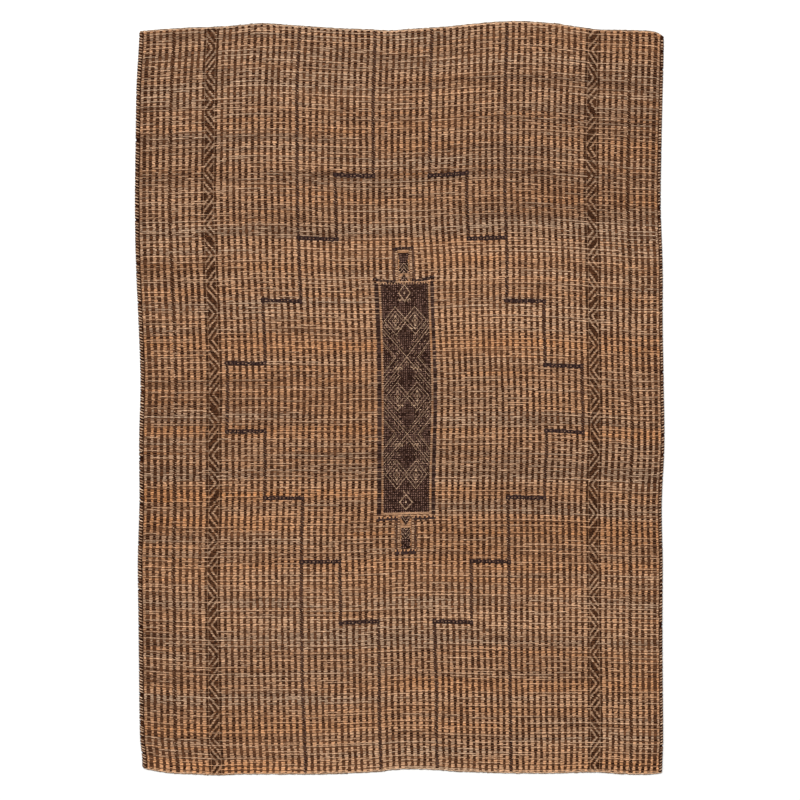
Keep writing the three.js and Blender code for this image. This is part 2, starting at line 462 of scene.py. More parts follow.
def yarn_shape(cells_along, end_height):
    """The upper half of a yarn, from -1 to 1 along it and across it, and 1 high."""
    bm = bmesh.new()
    bmesh.ops.create_grid(bm, x_segments=cells_along, y_segments=2, size=1)
    for v in bm.verts:
        at_end = abs(v.co.x) > 0.99
        around = math.pi * (v.co.y + 1) / 2
        v.co.x = math.copysign(abs(v.co.x) ** 0.2, v.co.x)
        v.co.y = -math.cos(around) * (0.8 if at_end else 1)
        v.co.z = math.sin(around) * (end_height if at_end else 1)
    return points_and_faces(bm)


FULL_YARN = yarn_shape(3, 0.0)
SLIM_YARN = yarn_shape(2, 0.7)


def yarn_points(shape, bundle):
    """The points of many yarns of one shape, and each yarn's own values."""
    x, y, z = shape[0].T
    size = {name: column[:, None] for name, column in bundle.items()}
    across = size["across"] + x * size["half_length"]
    along = size["along"] + y * size["half_width"] + x * size["lean"]
    height = size["foot"] + z * (size["crest"] - size["foot"])
    return in_metres(across, along, height)


def woven(name, finishes, *parts):
    """One mesh of many yarns. Each part is a shape and the bundle of yarns that have it."""
    return joined(name, finishes, [(s, yarn_points(s, bundle), bundle) for s, bundle in parts])


def joined(name, finishes, parts):
    """One mesh of many small shapes. Each part is a shape, its points and its shapes' own values.

    A map of its own, named OFBake, gives every yarn a square of its own, for a finish to be baked
    to.
    """
    side = math.ceil(math.sqrt(sum(len(placed) for _, placed, _ in parts)))
    points, corners, kinds, bake_map, paleness, rust = [], [], [], [], [], []
    first_point = first_yarn = 0
    for (flat, faces), placed, bundle in parts:
        number, per_yarn = placed.shape[:2]
        points.append(placed.reshape(-1, 3))
        starts = first_point + per_yarn * np.arange(number)
        corners.append((starts[:, None, None] + faces).reshape(-1, 4))
        kinds.append(np.repeat(bundle["kind"].astype(int), len(faces)))
        cell = first_yarn + np.arange(number)
        cell = np.stack([cell % side, cell // side], -1)[:, None]
        place = (cell + 0.5 + 0.4 * flat[:, :2] / np.abs(flat[:, :2]).max(0)) / side
        bake_map.append(place[:, faces.ravel()].reshape(-1, 2))
        paleness.append(np.repeat(bundle["paleness"], per_yarn))
        rust.append(np.repeat(bundle["rust"], per_yarn))
        first_point += per_yarn * number
        first_yarn += number
    points, corners = np.concatenate(points), np.concatenate(corners)
    mesh = bpy.data.meshes.new(name)
    mesh.vertices.add(len(points))
    mesh.vertices.foreach_set("co", points.ravel())
    mesh.loops.add(corners.size)
    mesh.loops.foreach_set("vertex_index", corners.ravel())
    mesh.polygons.add(len(corners))
    mesh.polygons.foreach_set("loop_start", np.arange(0, corners.size, 4))
    mesh.polygons.foreach_set("material_index", np.concatenate(kinds))
    mesh.update(calc_edges=True)
    mesh.shade_smooth()
    layer = mesh.uv_layers.new(name="OFBake")
    layer.data.foreach_set("uv", np.concatenate(bake_map).ravel())
    for title, values in (("paleness", paleness), ("rust", rust)):
        attribute = mesh.attributes.new(title, "FLOAT", "POINT")
        attribute.data.foreach_set("value", np.concatenate(values))
    return piece(name, mesh, finishes)


def piece(name, mesh, finishes):
    """A piece of the scene, with its mesh and its finishes."""
    made = bpy.data.objects.new(name, mesh)
    bpy.context.scene.collection.objects.link(made)
    for finish in finishes:
        mesh.materials.append(finish)
    return made


def modelled(name, bm, finish):
    """A piece from a bmesh, which is used up."""
    mesh = bpy.data.meshes.new(name)
    bm.to_mesh(mesh)
    bm.free()
    return piece(name, mesh, [finish])


# Finishes


class Wire:
    """An output of a node, for writing a finish's sums as they are."""

    def __init__(self, finish, socket):
        self.finish = finish
        self.socket = socket

    def sum(self, operation, first, second):
        return self.finish.node("ShaderNodeMath", {"operation": operation}, {0: first, 1: second})

    def __add__(self, other):
        return self.sum("ADD", self, other)

    def __sub__(self, other):
        return self.sum("SUBTRACT", self, other)

    def __mul__(self, other):
        return self.sum("MULTIPLY", self, other)

    def __radd__(self, other):
        return self.sum("ADD", other, self)

    def __rsub__(self, other):
        return self.sum("SUBTRACT", other, self)

    def __rmul__(self, other):
        return self.sum("MULTIPLY", other, self)

    def __lt__(self, other):
        return self.sum("LESS_THAN", self, other)

    def __gt__(self, other):
        return self.sum("GREATER_THAN", self, other)


class Finish:
    """A material, and one method that adds any node to it."""

    def __init__(self, name, roughness):
        self.material = bpy.data.materials.new(name)
        self.material.use_nodes = True
        self.tree = self.material.node_tree
        self.shader = self.tree.nodes["Principled BSDF"]
        self.shader.inputs["Roughness"].default_value = roughness
        self.shader.inputs["Specular IOR Level"].default_value = 0.04

    def node(self, kind, settings, sockets, output=0):
        made = self.tree.nodes.new(kind)
        for name, value in settings.items():
            setattr(made, name, value)
        for name, value in sockets.items():
            self.feed(made.inputs[name], value)
        return Wire(self, made.outputs[output])

    def feed(self, socket, value):
        if isinstance(value, Wire):
            self.tree.links.new(value.socket, socket)
        else:
            socket.default_value = value

    def mixed(self, share, first, second):
        """Two colours mixed."""
        return self.node(
            "ShaderNodeMix", {"data_type": "RGBA"}, {0: share, 6: first, 7: second}, output=2
        )

    def shaded(self, colour, amount):
        """A colour made lighter or darker."""
        return self.node(
            "ShaderNodeVectorMath", {"operation": "SCALE"}, {0: colour, "Scale": amount}
        )

    def place(self):
        return self.node("ShaderNodeTexCoord", {}, {}, output="Object")

    def stretched(self, scale):
        """Object coordinates, scaled apart along the three axes."""
        return self.node(
            "ShaderNodeVectorMath", {"operation": "MULTIPLY"}, {0: self.place(), 1: scale}
        )

    def noise(self, scale, detail=2.0):
        sockets = {"Vector": self.stretched(scale), "Scale": 1.0, "Detail": detail}
        return self.node("ShaderNodeTexNoise", {}, sockets)

    def attribute(self, name):
        return self.node("ShaderNodeAttribute", {"attribute_name": name}, {}, output="Fac")

    def wave(self, place, pitch):
        """A wave from 1 to -1 with that pitch."""
        turns = place * (2 * math.pi / pitch)
        return self.node("ShaderNodeMath", {"operation": "COSINE"}, {0: turns})

    def depth_share(self, low, high):
        """0 up to one height over the floor, in millimetres, and 1 from the other one on."""
        height = self.node("ShaderNodeSeparateXYZ", {}, {0: self.place()}, output="Z")
        sockets = {"Value": height, "From Min": low * MM, "From Max": high * MM}
        return self.node("ShaderNodeMapRange", {"interpolation_type": "SMOOTHSTEP"}, sockets)

    def done(self, colour, height, depth):
        """Feeds the shader its colour, and a bump of that height in metres."""
        self.feed(self.shader.inputs["Base Color"], colour)
        sockets = {"Height": height, "Strength": 1.0, "Distance": depth}
        self.feed(self.shader.inputs["Normal"], self.node("ShaderNodeBump", {}, sockets))
        return self.material


def srgb(red, green, blue):
    """A colour as it shows on a screen, from 0 to 255, in the shader's own terms."""
    parts = [value / 255 for value in (red, green, blue)]
    linear = [p / 12.92 if p <= 0.04045 else ((p + 0.055) / 1.055) ** 2.4 for p in parts]
    return (*linear, 1.0)


def jute(name, deep, pale, rusty, painted_shadow):
    """Spun jute: fibres along the yarn, which lies across the rug, and painted shade low in the
    weave.
    """
    finish = Finish(name, 0.92)
    colour = finish.mixed(finish.attribute("paleness"), srgb(*deep), srgb(*pale))
    colour = finish.mixed(finish.attribute("rust"), colour, srgb(*rusty))
    fibres = finish.noise((260, 1700, 1700), 3.0)
    slubs = finish.noise((70, 160, 160), 1.0)
    flecks = finish.noise((110, 560, 330), 0.0)
    # Painted shade: the colour is darkened where the yarn lies low, from 7.2 mm down to 4.4 mm over
    # the floor, by up to the share given as painted_shadow.
    raised = (1 - painted_shadow) + finish.depth_share(4.4, 7.2) * painted_shadow
    light = fibres * 0.4 + slubs * 0.3 + flecks * 1.5
    colour = finish.shaded(colour, (light - 0.09) * raised)
    return finish.done(colour, fibres, 0.0007)


def backed_ground(name):
    """The cloth between the yarns: dark above, and on its underside the weave's plain back."""
    finish = Finish(name, 0.95)
    place = finish.place()
    across = finish.node("ShaderNodeSeparateXYZ", {}, {0: place}, output="X")
    along = finish.node("ShaderNodeSeparateXYZ", {}, {0: place}, output="Y")
    normal = finish.node("ShaderNodeNewGeometry", {}, {}, output="Normal")
    up = finish.node("ShaderNodeSeparateXYZ", {}, {0: normal}, output="Z")
    slow = finish.noise((6, 14, 6), 3.0)
    fibres = finish.noise((300, 1500, 300), 2.0)
    rib_wave = finish.wave(across + slow * 0.004, RIB_PITCH * MM)
    pick_wave = finish.wave(along + slow * 0.003, PICK_PITCH * MM)
    back = finish.mixed(rib_wave > 0.1, srgb(86, 54, 36), srgb(190, 146, 108))
    back = finish.shaded(back, 0.55 + pick_wave * 0.2 + fibres * 0.4 + slow * 0.3)
    top = finish.shaded(finish.mixed(slow, srgb(76, 47, 31), srgb(112, 76, 52)), 0.6 + fibres * 0.7)
    colour = finish.mixed(up < -0.5, top, back)
    return finish.done(colour, pick_wave * 0.5 + fibres * 0.4, 0.0008)


tan_jute = jute("tan_jute", (113, 79, 57), (241, 205, 171), (226, 143, 68), 0.72)
dark_jute = jute("dark_jute", (38, 16, 7), (154, 102, 68), (120, 62, 32), 0.3)
panel_jute = jute("panel_jute", (29, 15, 16), (158, 122, 108), (120, 70, 48), 0.3)
ground_cloth_finish = backed_ground("ground_weave")
YARN_FINISHES = (tan_jute, dark_jute)
PANEL_FINISHES = (tan_jute, panel_jute, dark_jute)


# Which part of the design each rib and groove belongs to, at each pick


def panel_rows():
    return (pick_places > PANEL_NEAR) & (pick_places < PANEL_FAR)


def finial_rows():
    off_panel = np.abs(pick_places) > PANEL_FAR
    return off_panel & (pick_places > FINIAL_BARS[1]) & (pick_places < FINIAL_BARS[0])


def border_start(side):
    """The first of the two ribs whose place a side border takes."""
    return MIDDLE_RIB + (BORDER_RIBS[0] if side > 0 else -BORDER_RIBS[1])


def about_middle(reach):
    """A slice with so many ribs on each side of the middle one."""
    return slice(MIDDLE_RIB - reach, MIDDLE_RIB + reach + 1)


plain_ribs = np.ones((PICK_COUNT, RIB_COUNT), bool)
plain_grooves = ~dotted
for side in (-1, 1):
    low = border_start(side)
    plain_ribs[:, low : low + 2] = False
    plain_grooves[:, low - 1 : low + 2] = False
plain_ribs[panel_rows(), about_middle(PANEL_RIBS)] = False
plain_grooves[panel_rows(), MIDDLE_RIB - PANEL_RIBS - 1 : MIDDLE_RIB + PANEL_RIBS + 1] = False
plain_ribs[finial_rows(), about_middle(FINIAL_RIBS)] = False
plain_grooves[finial_rows(), MIDDLE_RIB - FINIAL_RIBS : MIDDLE_RIB + FINIAL_RIBS] = False

# The grooves that a tan yarn may cross: the plain ones, some of the dotted ones, and the outer ones
# of the borders and of the panel.
at_long_line = np.zeros(RIB_COUNT - 1, bool)
for side in (-1, 1):
    at_long_line[groove_at(side, LONG_DOTTED_LINE)] = True
now_and_then = np.random.default_rng(68).random(dotted.shape) < np.where(at_long_line, 0.4, 0.08)
often = np.random.default_rng(69).random(dotted.shape) < 0.8
open_grooves = plain_grooves | (dotted & now_and_then)
for groove in (MIDDLE_RIB - PANEL_RIBS - 1, MIDDLE_RIB + PANEL_RIBS):
    open_grooves[:, groove] |= panel_rows() & often[:, groove]
for outer in (BORDER_RIBS[0] - 1, BORDER_RIBS[1]):
    open_grooves[:, MIDDLE_RIB + outer] = True
    open_grooves[:, MIDDLE_RIB - outer - 1] = True


def crossed_grooves():
    """Where a tan yarn shows in a groove: in runs along a pick, and seldom on two picks in a row."""
    size = (PICK_COUNT, RIB_COUNT - 1)
    crossing = unevenness(63, *size, 0.3, 0.8) + 0.9 * unevenness(64, *size, 0.3, 7)
    neighbours = np.roll(crossing, 1, 0) + np.roll(crossing, -1, 0)
    crossing = crossing - 0.3 * neighbours
    return crossing > np.quantile(crossing, PLAIN_SHARE)


crossed = crossed_grooves()


def rust_share(across, along):
    """How rusty the tan yarn is: a little in most places, and more in a few."""
    return np.clip(RUST + shade_at(tan_rust, across, along), 0, 1)


def field_yarns():
    """The tan yarns on the ribs, the dark ones in the grooves, and the tan ones that cross them."""
    chance = np.random.default_rng(61)
    row, rib = np.nonzero(plain_ribs)
    count = len(row)
    across = ribs[row, rib] + 0.4 * chance.normal(0, 1, count)
    along = pick_places[row] + 0.25 * chance.normal(0, 1, count)
    fullness = unevenness(62, PICK_COUNT, RIB_COUNT, 2, 0.6)[row, rib]
    grain = chance.normal(0, 1, count)
    beside = np.pad(crossed, ((0, 0), (1, 1)))
    on_top = beside[row, rib] & beside[row, rib + 1]
    slimmer = 0.5 ** np.minimum(rib, RIB_COUNT - 1 - rib)
    half_length = TAN_LENGTH + 0.3 * fullness + 0.8 * chance.normal(0, 1, count)
    tan = yarns(
        TAN,
        across,
        along + 1.0 * on_top,
        np.clip(half_length, 4, 8.6) - 1.6 * slimmer,
        (TAN_WIDTH - 0.06 * on_top) * pick_widths[row] + 0.2 * chance.normal(0, 1, count),
        TAN_FOOT,
        CLOTH_THICKNESS - 0.4 + 0.4 * chance.normal(0, 1, count),
        TAN_PALENESS + shade_at(tan_paleness, across, along) + 0.06 * grain + 0.13 * on_top,
        rust_share(across, along) + 0.03 * grain,
        0.8 * chance.normal(0, 1, count),
    )

    row, groove = np.nonzero(plain_grooves)
    count = len(row)
    across = (ribs[row, groove] + ribs[row, groove + 1]) / 2
    along = pick_places[row] + 0.3 * chance.normal(0, 1, count)
    depth = unevenness(66, PICK_COUNT, RIB_COUNT - 1, 3, 0.7)[row, groove]
    dark = yarns(
        DARK,
        across,
        along,
        (ribs[row, groove + 1] - ribs[row, groove]) / 2 - 3.6,
        DARK_WIDTH * pick_widths[row],
        LOW_FOOT,
        DARK_CREST + 0.25 * chance.normal(0, 1, count),
        0.03 * depth
        + shade_at(dark_paleness, across, along)
        + 0.45 * chance.random(count) ** 3,
    )

    row, groove = np.nonzero(crossed & open_grooves)
    count = len(row)
    across = (ribs[row, groove] + ribs[row, groove + 1]) / 2
    along = pick_places[row] + 1.2 + 0.2 * chance.normal(0, 1, count)
    crossing_yarns = yarns(
        TAN,
        across,
        along,
        (ribs[row, groove + 1] - ribs[row, groove]) / 2 - 1.2,
        CROSSING_WIDTH + 0.2 * chance.normal(0, 1, count),
        CROSSING_FOOT,
        CROSSING_CREST,
        CROSSING_PALENESS + shade_at(tan_paleness, across, along) + 0.2 * chance.normal(0, 1, count),
        rust_share(across, along),
        0.3 * chance.normal(0, 1, count),
    )
    return tan, gathered([dark, crossing_yarns])


def in_strips(name, count, full, slim):
    """The field's yarns as strips along the rug, because one mesh of them all is too heavy."""
    made = []
    edges = np.linspace(-RUG_WIDTH / 2, RUG_WIDTH / 2, count + 1)
    for number, (left, right) in enumerate(zip(edges[:-1], edges[1:]), 1):
        parts = []
        for shape, bundle in ((FULL_YARN, full), (SLIM_YARN, slim)):
            inside = (bundle["across"] >= left) & (bundle["across"] < right)
            parts.append((shape, some(bundle, inside)))
        made.append(woven(f"{name}_{number}", YARN_FINISHES, *parts))
    return made


def stretches(marks, places):
    """The stretches of a line where the marks stay the same, as start, end and mark."""
    changes = np.nonzero(np.diff(marks))[0] + 1
    starts = np.concatenate([[0], changes])
    ends = np.concatenate([changes, [len(marks)]])
    step = places[1] - places[0]
    return [(places[a] - step / 2, places[b - 1] + step / 2, marks[a]) for a, b in zip(starts, ends)]


def charted(rows, low, high, pale, warmth, seed):
    """Short yarns that follow a chart. Each has its kind, start, end, place along and brightness."""
    kinds, starts, ends, along, extra = np.array(rows, float).T
    across = (starts + ends) / 2
    chance = np.random.default_rng(seed).normal(0, 1, (2, len(across)))
    tan = kinds == TAN
    return yarns(
        kinds,
        across,
        along + 0.2 * chance[1],
        (ends - starts) / 2 + np.where(tan, 0, 0.4),
        HALF_PICK_WIDTH,
        LOW_FOOT,
        np.where(tan, high, low),
        np.where(
            tan,
            pale + extra + shade_at(tan_paleness, across, along) + 0.14 * chance[0],
            0.2 + extra + 0.3 * shade_at(dark_paleness, across, along) + 0.12 * chance[0],
        ),
        np.where(tan, warmth * rust_share(across, along), 0),
    )


# The charted parts are woven with twice as many, finer picks.
half_picks = np.arange(
    PLAIN_END - RUG_LENGTH / 2 + PICK_PITCH / 4, RUG_LENGTH / 2 - PLAIN_END, PICK_PITCH / 2
)
HALF_PICK_WIDTH = 1.8

# A side border
BORDER_LINE = 6.8  # the dark line on each side of a border
BORDER_RIM = 2.2  # the fine light line inside it
TRIANGLE = 16.6  # how far a dark triangle reaches across
OUTER_GAP = 7.4
THIN_BAR = 9.8
INNER_GAP = 7.4
FULL_REACH = 80.0  # two triangles further apart have three bars between them, and others one
CUT = 5.5  # the usual length of a dark yarn in a border


def border_kinds(along, width, across, triangles, first_on_left):
    """The kinds of yarn across a border at one place along it."""
    number = int(np.clip(np.searchsorted(triangles, along) - 1, 0, len(triangles) - 2))
    on_left = first_on_left == (number % 2 == 0)
    gap = triangles[number + 1] - triangles[number]
    from_base = across if on_left else width - across
    reach = (along - triangles[number]) / BORDER_SLOPE + from_base
    whole = gap / BORDER_SLOPE + width
    reach = np.minimum(reach, whole - reach)
    dark = reach < TRIANGLE
    if whole > FULL_REACH:
        first_bar = TRIANGLE + OUTER_GAP
        dark |= (reach > first_bar) & (reach < first_bar + THIN_BAR)
        dark |= reach > first_bar + THIN_BAR + INNER_GAP
    else:
        dark |= reach > TRIANGLE + OUTER_GAP
    dark &= (across > BORDER_RIM) & (across < width - BORDER_RIM)
    return np.where(dark, DARK, TAN)


def side_border(name, side, triangles, first_on_left):
    """A side border, whose dark triangles stand against its left side and its right one in turn."""
    low = border_start(side)
    rows = []
    ragged = np.random.default_rng(75 + side)
    for number, along in enumerate(half_picks):
        glint = 0.15 if number % 2 else -0.13
        left = rib_at(low - 1, along) + RIB_FACE / 2
        right = rib_at(low + 2, along) - RIB_FACE / 2
        width = right - left - 2 * BORDER_LINE
        places = np.linspace(0.5, width - 0.5, round(width))
        at = along + ragged.normal(0, 1.3)
        kinds = border_kinds(at, width, places, triangles, first_on_left)
        rows.append((DARK, left - 0.5, left + BORDER_LINE, along, 0.6 * glint - 0.06))
        rows.append((DARK, right - BORDER_LINE, right + 0.5, along, 0.6 * glint - 0.06))
        for start, end, kind in stretches(kinds, places + left + BORDER_LINE):
            if kind == TAN:
                narrow = end - start < BORDER_RIM + 1
                at_rim = narrow and min(start - left, right - end) < BORDER_LINE + 1
                rows.append((TAN, start, end, along, glint - 0.2 * at_rim))
                continue
            cuts = np.linspace(start, end, max(2, round((end - start) / CUT) + 1))
            for a, b in zip(cuts[:-1], cuts[1:]):
                speck = 0.4 * ragged.random() * (ragged.random() < 0.3)
                rows.append((DARK, a, b, along, speck - 0.12 + 0.4 * glint))
    bundle = charted(rows, 6.7, 7.8, 0.48, 0.7, 70 + side)
    return woven(name, YARN_FINISHES, (SLIM_YARN, gathered([bundle, border_crossings(low)])))


def border_crossings(low):
    """The tan picks that run on over a border, where both of its neighbours are crossed."""
    row = np.nonzero(crossed[:, low - 2] & crossed[:, low + 2])[0]
    left, right = ribs[row, low - 1] + 3, ribs[row, low + 2] - 3
    third = (right - left) / 3
    across = np.stack([left + third / 2, (left + right) / 2, right - third / 2])
    along = np.broadcast_to(pick_places[row], across.shape)
    paleness = 0.55 + shade_at(tan_paleness, across, along)
    return yarns(TAN, across, along, third / 2 + 1, 1.1, 4.6, 8.0, paleness, 0.1)


# The middle panel
GROUND_CELL = 3.1  # the width of one column of the panel's ground
GROUND_COLUMNS = 56  # enough for the width of the panel
LINE = 1.6  # half the thickness of a charted line, along the rug


def near_line(distance, half=LINE):
    """Where a place is on a line, by its distance from the line's middle."""
    return np.abs(distance) < half


def in_heart(across, along):
    """The plain dark hearts, which stand on their tips."""
    inside = np.zeros(across.shape, bool)
    for tip in HEARTS:
        above = along - tip
        inside |= np.abs(across) < 23 * min(above / 57, (80 - above) / 16, 1)
    return inside


def panel_lines(across, along, chance):
    """How bright the panel's chart is: 0 where it is dark, and up to 1 at a bright line."""
    side = LOZENGE_SLOPE * np.abs(across)
    shift = LOZENGE_SLOPE * LOZENGE_SHIFT
    nearest = min(LOZENGE_PAIRS, key=lambda pair: abs(along - pair))
    from_pair = np.abs(side - shift) + abs(along - nearest)
    from_other = side + shift + abs(along - nearest)
    beyond = along > LOZENGE_PAIRS[0] or along < LOZENGE_PAIRS[-1]
    bright = np.zeros(across.shape)

    def draw(where, amount):
        bright[where & (amount > bright)] = amount

    crossing = min(CROSSINGS, key=lambda place: abs(along - place))
    slant = abs(along - crossing) - side
    outside = (from_pair > LOZENGE_RINGS[0] + 5) & ~in_heart(across, along)
    if not beyond:
        for step, amount, share in (
            (0, 0.55, 1),
            (1, 0.4, 0.8),
            (2, 0.5, 0.6),
            (3, 0.4, 0.7),
            (-1, 0.6, 0.4),
            (-2, 0.45, 0.45),
        ):
            if chance.random() < share:
                draw(near_line(slant - step * LINE_SPACING) & outside, amount)
        draw(near_line(slant + SIDE_TRIANGLE) & outside, 0.5)
        draw((slant < -SIDE_TRIANGLE - 6) & (slant > -SIDE_TRIANGLE - 8.2) & outside, 0.25)
    for ring, amount in zip(LOZENGE_RINGS, (0.6, 0.45, 0.5)):
        draw(near_line(from_pair - ring), amount)
    draw(near_line(from_other - LOZENGE_RINGS[0]), 0.5)
    draw(near_line(from_pair - 17, 2.6) & near_line(side - shift, 4), 0.9)
    draw(near_line(from_pair - 3, 3), 0.35)
    for middle, half_length, half_width in SMALL_LOZENGES:
        reach = np.abs(across) / half_width + abs(along - middle) / half_length
        draw(near_line(reach - 1, 0.11), 0.5)
        draw(near_line(reach, 0.2), 0.75)
    for place, half in SPECK_ROWS:
        beads = np.abs(along - place - 2.6 * np.sin(across * 0.55)) < 2.2
        draw(beads & (np.abs(across) < half) & (np.abs(across) > half * 0.35), 0.6)
    return bright


def panel_end(across, along):
    """The tan line along each end of the panel, which has teeth at the far one."""
    from_far = PANEL_FAR - along
    tooth = np.abs(across / 8.2 % 1 - 0.5) < 0.4 - 0.045 * from_far
    return tooth | (from_far < 3.5) | (along - PANEL_NEAR < 4.5)


def finial_parts(across, along, ragged):
    """Where a finial is dark, and where its light chevrons are, by the place from the middle."""
    reach = abs(along)
    block_start = 387 if along > 0 else 394
    block_end = 448 if along > 0 else 457
    side = np.abs(across)
    from_foot = reach - block_start
    block = (side < 15 + ragged) & (0 < from_foot < block_end - block_start)
    chevrons = block & near_line((from_foot + 1.25 * side) % 12.5 - 6, 1.3) & (side < 14)
    chevrons &= from_foot < 32
    tip = (side < (block_start - (1 if along > 0 else 7) - reach) * 0.6) & (from_foot < 0)
    chevrons = chevrons | (tip & near_line(reach - 374 + 1.4 * side, 1.3))
    return (block | tip) & ~chevrons, chevrons


def ground_cells(start, end, middle):
    """The places where a stretch of the panel's ground is cut between its columns."""
    first = math.ceil((start - middle) / GROUND_CELL + 0.3)
    last = math.floor((end - middle) / GROUND_CELL - 0.3)
    return np.array([start, *(middle + GROUND_CELL * np.arange(first, last + 1)), end])


def centre_panel():
    """The dark panel with its chart, and the finials at its two ends."""
    rows, side_rows, end_rows = [], [], []
    chance = np.random.default_rng(81)
    streaks = 0.05 * unevenness(83, len(half_picks), GROUND_COLUMNS, 9, 0)
    streaks = streaks + 0.04 * unevenness(84, 1, GROUND_COLUMNS, 0, 0)
    for number, along in enumerate(half_picks):
        middle = float(rib_at(MIDDLE_RIB, along))
        if PANEL_NEAR < along < PANEL_FAR:
            tooth = 2.6 if number % 2 else 0.4
            left = float(rib_at(MIDDLE_RIB - PANEL_RIBS, along))
            right = float(rib_at(MIDDLE_RIB + PANEL_RIBS, along))
            outer_left = float(rib_at(MIDDLE_RIB - PANEL_RIBS - 1, along)) + RIB_FACE / 2
            outer_right = float(rib_at(MIDDLE_RIB + PANEL_RIBS + 1, along)) - RIB_FACE / 2
            glint = 0.2 if number % 2 else -0.2
            side_rows.append((DARK, outer_left - 0.5, left - 1, along, 0.3 * glint - 0.1))
            side_rows.append((TAN, left - 1, left + 4 + tooth, along, glint))
            side_rows.append((TAN, right - 2.8 - tooth, right + 2.8, along, glint))
            side_rows.append((DARK, right + 2.8, outer_right + 0.5, along, 0.3 * glint - 0.1))
            places = np.arange(left + 4.5 + tooth, right - 2.6 - tooth, 1.0)
            bright = panel_lines(places - middle, along, chance)
            bright *= 1.3 if number % 2 else 0.65
            bright[panel_end(places - middle, along)] = 0.7
        elif FINIAL_BARS[1] < along < FINIAL_BARS[0]:
            left = float(rib_at(MIDDLE_RIB - 1.5, along)) + 11.8
            right = float(rib_at(MIDDLE_RIB + 1.5, along)) - 11.8
            places = np.arange(left + 0.5, right, 1.0)
            ragged = 1.2 * chance.normal()
            dark, chevrons = finial_parts(places - middle, along, ragged)
            bright = np.where(dark, 0, (0.5, 0.14)[number % 2])
            bright[~dark & (abs(abs(along) - 458) < 2)] = 0.7
            bright[chevrons] = CHEVRON_BRIGHTNESS
        else:
            continue
        for start, end, amount in stretches(bright, places):
            if amount > 0:
                at_end = along - PANEL_NEAR < 5 or PANEL_FAR - along < 9
                at_end = at_end and amount != CHEVRON_BRIGHTNESS
                (end_rows if at_end else rows).append((TAN, start, end, along, amount - 0.25))
                continue
            cuts = ground_cells(start, end, middle)
            centres = (cuts[:-1] + cuts[1:]) / 2 - middle
            often = 0.7 if start < middle or along < 0 else 0.48
            dim = 0.3 * in_heart(centres, along)
            for a, b, centre, less in zip(cuts[:-1], cuts[1:], centres, dim):
                column = math.floor(centre / GROUND_CELL) + GROUND_COLUMNS // 2
                if column % 2 and number % 2 and chance.random() < often:
                    rows.append((DARK, a, b, along, 0.16 * chance.normal() + 0.64 - less))
                else:
                    extra = streaks[number, column] + (-0.12 if column % 2 else -0.28)
                    extra -= 0.14 * (abs(along) > PANEL_FAR)
                    rows.append((DARK, a, b, along, extra))
    chart = charted(rows, 7.3, 7.7, 0.4, 0.25, 82)
    sides = charted(side_rows, 7.3, 7.7, 0.46, 1.3, 85)
    ends = charted(end_rows, 7.3, 7.7, 0.4, 1.5, 86)
    return woven("centre_panel", PANEL_FINISHES, (SLIM_YARN, gathered([chart, sides, ends])))


# The stepped line and the dotted lines


def bar_places(start, end, along, rise, pitch, chance):
    """The places of a bar's loops across and along the rug, and the step between them."""
    count = max(2, round((end - start) / pitch))
    share = (np.arange(count) + 0.5 + 0.14 * chance.normal(0, 1, count)) / count
    share = np.clip(share, 0, 1)
    at = start + share * (end - start)
    along = along + rise[0] * (1 - share) ** 2.5 + rise[1] * share**2.5
    return at, along + 0.6 * chance.normal(0, 1, count), (end - start) / count


def twined_bar(start, end, along, rise, half, chance):
    """A raised bar of dark twined rings across the rug, whose two ends may turn from it."""
    at, along, step = bar_places(start, end, along, rise, 11.5, chance)
    size = 1 + 0.22 * chance.normal(0, 1, len(at))
    pale = 0.1 + 0.4 * chance.random(len(at)) ** 2
    base = yarns(DARK, at, along, step * 0.62, 1.5 * half, 6.2, 8.8, 0.1)
    upper = yarns(DARK, at, along + half, step * 0.5, 0.55 * half * size, 6.6, 9.3, 0.08, 0, 1.5)
    lower = yarns(DARK, at, along - half, step * 0.5, 0.55 * half * size, 6.6, 9.3, 0.08, 0, -1.5)
    links = yarns(DARK, at - step / 2, along, 2.2, 1.4 * half * size, 6.4, 9.5, 0.02)
    eyes = yarns(TAN, at, along, 2.7 * size, 0.45 * half, 7.0, 9.5, pale, 0.1)
    return [base, upper, lower, links, some(eyes, chance.random(len(at)) < 0.75)]


def knotted_bar(start, end, along, rise, half, chance):
    """A bar of dark knots, each wide below and narrow above."""
    at, along, step = bar_places(start, end, along, rise, 14.0, chance)
    size = 1 + 0.12 * chance.normal(0, 1, len(at))
    wide = yarns(DARK, at, along - 0.5 * half, step * 0.5, 1.2 * half, 6.6, 9.3, 0.1)
    narrow = yarns(DARK, at, along + 0.8 * half, step * 0.26, 0.9 * half * size, 6.6, 9.4, 0.06)
    under = yarns(TAN, at, along + 0.8 * half, step * 0.6, 0.9 * half, 5.6, 8.6, 0.3, 0.3)
    return [under, wide, narrow]


def bar_style(along, inner):
    """How a bar is made, how far along its outer end is shifted, and half of its width."""
    if inner > STEPS[-1][2]:  # not one of the four bars at the ends of the panel
        return twined_bar, math.copysign(1.5, along), 3.8
    return (twined_bar, 9.0, 2.3) if along > 0 else (knotted_bar, -1.0, 3.8)


def bars(chance):
    """The loops of all the bars, those of the steps and the two over the finials."""
    loops = []
    for side in (-1, 1):
        for left_place, right_place, inner, outer in STEPS:
            along = float(left_place if side < 0 else right_place)
            ends = [float(rib_at(MIDDLE_RIB + side * rib, along)) for rib in (inner, outer)]
            make, rise, half = bar_style(along, inner)
            rise = (rise, 0.0) if side < 0 else (0.0, rise)
            loops.extend(make(min(ends) - 4, max(ends) + 4, along, rise, half, chance))
    for make, along, half in zip((twined_bar, knotted_bar), FINIAL_BARS, (2.4, 4.8)):
        ends = [float(rib_at(MIDDLE_RIB + side * 1.5, along)) for side in (-1, 1)]
        loops.extend(make(ends[0] - 3, ends[1] + 3, float(along), (-3.0, 0.0), half, chance))
    return loops


